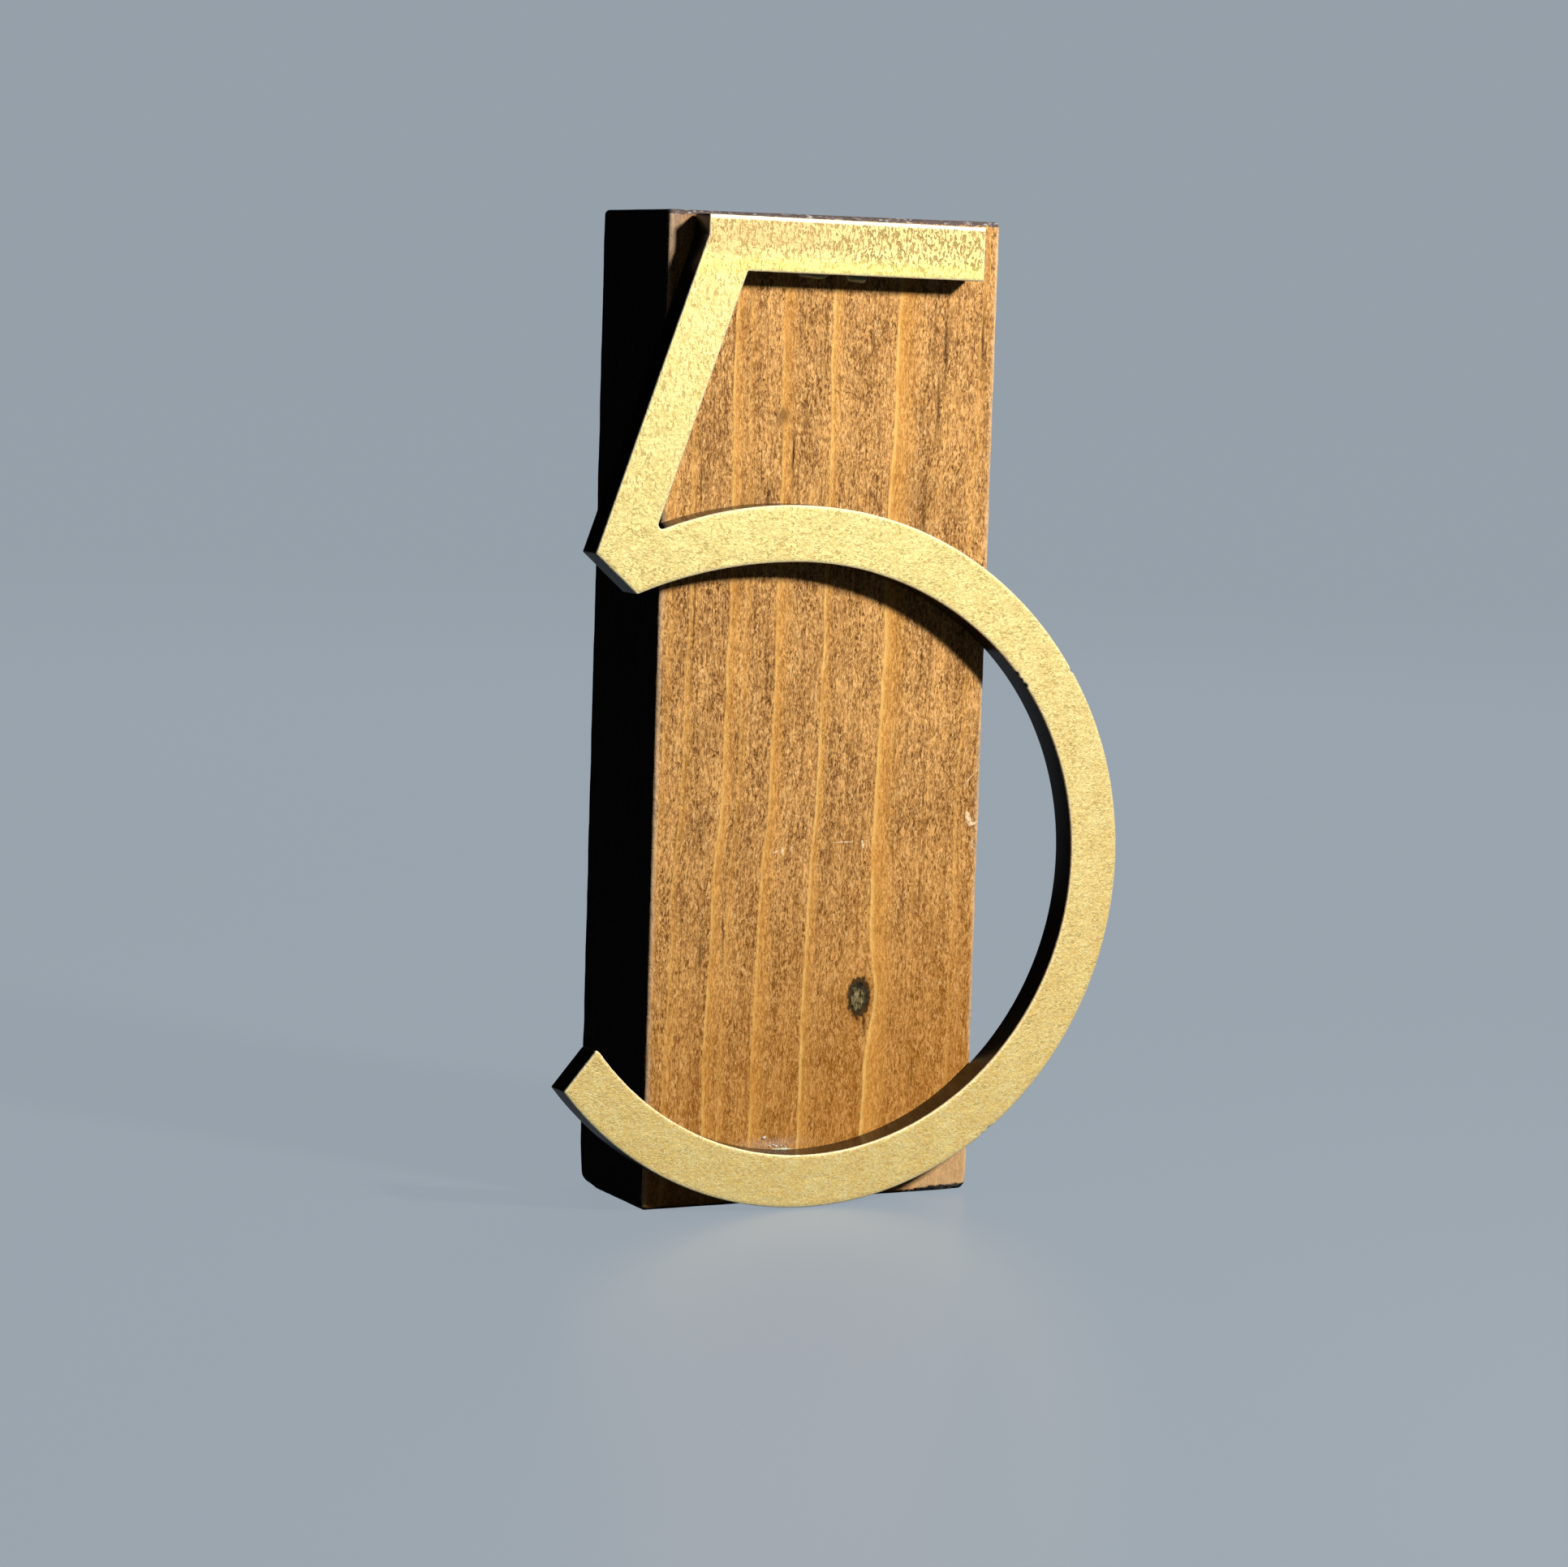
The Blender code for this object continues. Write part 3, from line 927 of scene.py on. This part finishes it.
class NumeralPlan:
    """The numeral's flat outline, which tells how far inside it a place lies."""

    def __init__(self, outline):
        self.outline = outline
        self.normals = outward_normals(outline)
        self.tree = KDTree(len(outline))
        for index, point in enumerate(outline):
            self.tree.insert((point.x, point.y, 0.0), index)
        self.tree.balance()

    def inside(self, point):
        """Distance from the outline, negative outside it."""
        _, index, distance = self.tree.find((point.x, point.y, 0.0))
        away = (point - self.outline[index]).dot(self.normals[index])
        return -distance if away > 0 else distance


def chipped_outline(plan):
    """The gold film's outline: the numeral's, slightly rough and chipped."""
    chipped = []
    for point, normal in zip(plan.outline, plan.normals):
        depth = FILM_ROUGHNESS * (1 + noise.noise(Vector((point.x, point.y, 0.0)) / (1.1 * MM)))
        for x, z, half_width, chip in FILM_CHIPS:
            away = (point - Vector((x, z)) * MM).length / (half_width * MM)
            if away < 1:
                ragged = 1 + 0.5 * noise.noise(Vector((point.x, point.y, 0.0)) / (0.3 * MM))
                depth += chip * MM * (1 - away**2) * ragged
        for x, z, half_width, burr in FILM_BURRS:
            away = (point - Vector((x, z)) * MM).length / (half_width * MM)
            depth -= burr * MM * max(0.0, 1 - away)
        chipped.append(point - normal * depth)
    return chipped


def face_points(plan):
    """Points inside the film's outline: rows that follow its edge, then a staggered grid."""
    points = []
    for row in RIM_ROWS:
        for index in range(0, len(plan.outline), 1 if row < 0.5 else 2):
            point = plan.outline[index] - plan.normals[index] * (row * MM)
            if plan.inside(point) > (row - 0.05) * MM:
                points.append(point)
    low, high = FACE_LOW, FACE_HIGH
    row_height = FACE_CELL * sqrt(3) / 2
    for row in range(int((high.z - low.z) / row_height)):
        for column in range(int((high.x - low.x) / FACE_CELL) + 1):
            place = Vector((low.x + (column + row % 2 / 2) * FACE_CELL, low.z + row * row_height))
            if RIM_WIDTH - 0.1 * MM < plan.inside(place) < 9 * MM:
                points.append(place)
    return points


def film_height(point, inside):
    """How far the film's front lies behind its front plane: pulled back at its edge, gently uneven."""
    share = min(inside / RIM_WIDTH, 1.0)
    drop = RIM_DROP * (1 - share) ** 2 + LIP_DROP * max(0.0, 1 - inside / LIP_WIDTH) ** 2
    swell = noise.noise(Vector((point.x, 0.0, point.y)) / (3.1 * MM))
    crinkle = noise.noise(Vector((point.x, 5.0, point.y)) / (1.5 * MM))
    return drop + (FILM_SWELL * (1 + swell) + FILM_CRINKLE * (1 + crinkle)) * share


def add_wall(mesh, front_ring, back_ring):
    """Faces between two rings of vertices that run the same way round."""
    count = len(front_ring)
    for index in range(count):
        after = (index + 1) % count
        mesh.faces.new((front_ring[index], back_ring[index], back_ring[after], front_ring[after]))


def make_film(plan, material):
    """The gold film: a crinkled sheet with a soft, chipped edge."""
    edge = NumeralPlan(chipped_outline(plan))
    border = edge.outline
    count = len(border)
    places = border + face_points(edge)
    loops = [list(range(count))]
    places, _, faces, _, _, _ = delaunay_2d_cdt(places, [], loops, 1, 1e-7)
    sheet = bmesh.new()
    rim = sheet.verts.layers.float.new("rim")
    front = []
    for place in places:
        inside = max(edge.inside(place), 0.0)
        vertex = sheet.verts.new((place.x, GOLD_Y + film_height(place, inside), place.y))
        vertex[rim] = max(0.0, 1 - inside / PALE_RIM)
        front.append(vertex)
    for face in faces:
        sheet.faces.new([front[index] for index in face])
    back = []
    for point in border:
        vertex = sheet.verts.new((point.x, GOLD_Y + FILM_THICKNESS, point.y))
        vertex[rim] = 1.0
        back.append(vertex)
    add_wall(sheet, front[:count], back)
    _, _, back_faces, _, _, _ = delaunay_2d_cdt(border, [], loops, 1, 1e-7)
    for face in back_faces:
        sheet.faces.new([back[index] for index in reversed(face)])
    bmesh.ops.recalc_face_normals(sheet, faces=sheet.faces)
    new_piece("gold_film", sheet, material, "numeral_face", FILM_SHARP_ANGLE)


def make_core(plan, material):
    """The numeral's black body, from the film back to the glue, with small rounded arrises."""
    front_y = GOLD_Y + FILM_THICKNESS + FILM_GAP
    back_y = CORE_BACK_Y
    depths = (
        front_y,
        front_y + ARRIS,
        front_y + ARRIS_END,
        (front_y + back_y) / 2,
        back_y - ARRIS_END,
        back_y - ARRIS,
        back_y,
    )
    body = bmesh.new()
    rings = []
    for y, inset in zip(depths, CORE_INSETS):
        ring = []
        for point, normal in zip(plan.outline, plan.normals):
            ripple = CORE_RIPPLE * noise.noise(Vector((point.x, y, point.y)) / (2.5 * MM))
            place = point - normal * (inset + abs(ripple))
            ring.append(body.verts.new((place.x, y, place.y)))
        rings.append(ring)
    for front_ring, back_ring in zip(rings, rings[1:]):
        add_wall(body, front_ring, back_ring)
    count = len(plan.outline)
    for ring in (rings[0], rings[-1]):
        flat = [Vector((vertex.co.x, vertex.co.z)) for vertex in ring]
        _, _, faces, _, _, _ = delaunay_2d_cdt(flat, [], [list(range(count))], 1, 1e-7)
        for face in faces:
            body.faces.new([ring[index] for index in face])
    bmesh.ops.recalc_face_normals(body, faces=body.faces)
    new_piece("numeral_body", body, material, "numeral_core", CORE_SHARP_ANGLE)


def make_glue_bead(node, plan, material):
    """A dab of glue pressed in the gap behind the numeral, swelling where it squeezes out."""
    low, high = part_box(node)
    middle = (low + high) / 2
    half_width = (high.x - low.x) / 2 * BEAD_WIDTH
    half_height = (high.z - low.z) / 2 * (BAR_BEAD_HEIGHT if "bar" in node else BEAD_HEIGHT)
    gap = WOOD_Y - CORE_BACK_Y
    ball = bmesh.new()
    bmesh.ops.create_icosphere(ball, subdivisions=4, radius=1.0)
    for vertex in ball.verts:
        unit = vertex.co.copy()
        lumps = 1 + BEAD_LUMPS * noise.noise(Vector((unit.x, middle.x * 300, unit.z)) * 2.2)
        x = middle.x + unit.x * half_width * lumps
        z = middle.z + unit.z * half_height * lumps
        outside = max(0.0, -plan.inside(Vector((x, z))))
        swell = min(outside / BEAD_SWELL_REACH, 1.0) * BEAD_SWELL
        crown = sqrt(max(0.0, 1 - (unit.x**2 + unit.z**2) ** 2))
        thickness = (gap - BEAD_OFF_CORE + swell) * crown
        y = WOOD_Y - BEAD_OFF_WOOD - (thickness if unit.y < 0 else 0.0)
        vertex.co = (x, y, z)
    new_piece(node + "_bead", ball, material, node)


def make_glue_crumbs(material):
    """Crumbs of dried glue stuck to the wood just above the bowl's bottom."""
    noise.seed_set(CRUMB_SEED)
    crumbs = bmesh.new()
    for x, z, radius in GLUE_CRUMBS:
        place = Matrix.Translation((x * MM, WOOD_Y, z * MM))
        squash = Matrix.Diagonal((1.1, 0.6, 0.9, 1.0))
        made = bmesh.ops.create_icosphere(
            crumbs, subdivisions=2, radius=radius * MM, matrix=place @ squash
        )
        for vertex in made["verts"]:
            vertex.co += 0.12 * MM * noise.noise_vector(vertex.co / (0.5 * MM))
    new_piece("glue_crumbs", crumbs, material, None)


def make_floor():
    """A plain pale floor that glows softly, so that it meets the backdrop without a line."""
    bpy.ops.mesh.primitive_circle_add(vertices=96, radius=8.0, fill_type="NGON")
    floor = bpy.context.object
    floor.name = "floor"
    surface = Shader("floor")
    path = surface.node("ShaderNodeLightPath")
    bounced = Wire(surface, path.outputs["Is Diffuse Ray"])
    mirrored = Wire(surface, path.outputs["Is Glossy Ray"])
    glow = 1.0 - bounced * (1.0 - FLOOR_BOUNCE) - mirrored * (1.0 - FLOOR_MIRROR)
    surface.set(
        Base_Color=(0.035, 0.039, 0.043, 1.0),
        Roughness=0.35,
        Specular_IOR_Level=0.03,
        Emission_Color=(*BACKDROP, 1.0),
        Emission_Strength=glow,
    )
    floor.data.materials.append(surface.material)


def make_light(name, place, aim, size, watts, colour):
    """A square soft light. The camera doesn't see it, and only the key light shows in reflections."""
    data = bpy.data.lights.new(name, "AREA")
    data.size = size
    data.energy = watts
    data.color = colour
    light = bpy.data.objects.new(name, data)
    light.location = place
    light.rotation_euler = (Vector(aim) - Vector(place)).to_track_quat("-Z", "Y").to_euler()
    light.visible_camera = False
    light.visible_glossy = name == "key"
    bpy.context.scene.collection.objects.link(light)


def make_lights():
    """A key light from the upper right, and soft fills from the left and from behind."""
    aim = (0.0, WOOD_Y, BLOCK_HIGH.z / 2)
    key = (KEY_REACH * sin(KEY_AZIMUTH), -KEY_REACH * cos(KEY_AZIMUTH), KEY_HEIGHT)
    make_light("key", key, aim, KEY_SIZE, KEY_WATTS, KEY_COLOUR)
    make_light("fill", FILL_PLACE, aim, FILL_SIZE, FILL_WATTS, FILL_COLOUR)
    make_light("back", BACK_PLACE, aim, BACK_SIZE, BACK_WATTS, BACK_COLOUR)


def make_room():
    """The surroundings: a plain backdrop to the camera, and a dim room to everything else."""
    world = bpy.data.worlds.new("room")
    bpy.context.scene.world = world
    world.use_nodes = True
    tree = world.node_tree
    seen = tree.nodes["Background"]
    seen.inputs["Color"].default_value = (*BACKDROP, 1.0)
    lit = tree.nodes.new("ShaderNodeBackground")
    lit.inputs["Color"].default_value = (*ROOM_LIGHT, 1.0)
    path = tree.nodes.new("ShaderNodeLightPath")
    blend = tree.nodes.new("ShaderNodeMixShader")
    tree.links.new(path.outputs["Is Camera Ray"], blend.inputs[0])
    tree.links.new(lit.outputs[0], blend.inputs[1])
    tree.links.new(seen.outputs[0], blend.inputs[2])
    tree.links.new(blend.outputs[0], tree.nodes["World Output"].inputs["Surface"])


def make_camera():
    """A long lens, a little lower than the block's top and left of its front."""
    data = bpy.data.cameras.new("camera")
    data.lens = CAMERA_LENS
    data.sensor_width = CAMERA_SENSOR
    camera = bpy.data.objects.new("camera", data)
    turn = Matrix.Rotation(-CAMERA_YAW, 4, "Z") @ Matrix.Rotation(pi / 2 - CAMERA_PITCH, 4, "X")
    turn = turn @ Matrix.Rotation(CAMERA_ROLL, 4, "Z")
    back_off = Matrix.Translation((0.0, 0.0, CAMERA_DISTANCE))
    camera.matrix_world = Matrix.Translation(CAMERA_AIM) @ turn @ back_off
    bpy.context.scene.collection.objects.link(camera)
    bpy.context.scene.camera = camera


def main():
    """Build every piece, with its floor, lights, room and camera."""
    bpy.context.scene.view_settings.view_transform = "Standard"
    make_camera()
    make_floor()
    make_lights()
    make_room()
    make_block(stained_wood())
    outline = fine_outline()
    if not is_anticlockwise(outline):
        outline.reverse()
    plan = NumeralPlan(outline)
    make_core(plan, black_edge())
    make_film(plan, gold_film())
    glue = cloudy_glue("clear_glue", GLUE_DULL, GLUE_BRIGHT)
    for node in sorted(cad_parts):
        if node.startswith("glue_"):
            make_glue_bead(node, plan, glue)
    make_glue_crumbs(cloudy_glue("dried_glue", CRUMB_DULL, CRUMB_BRIGHT))


main()
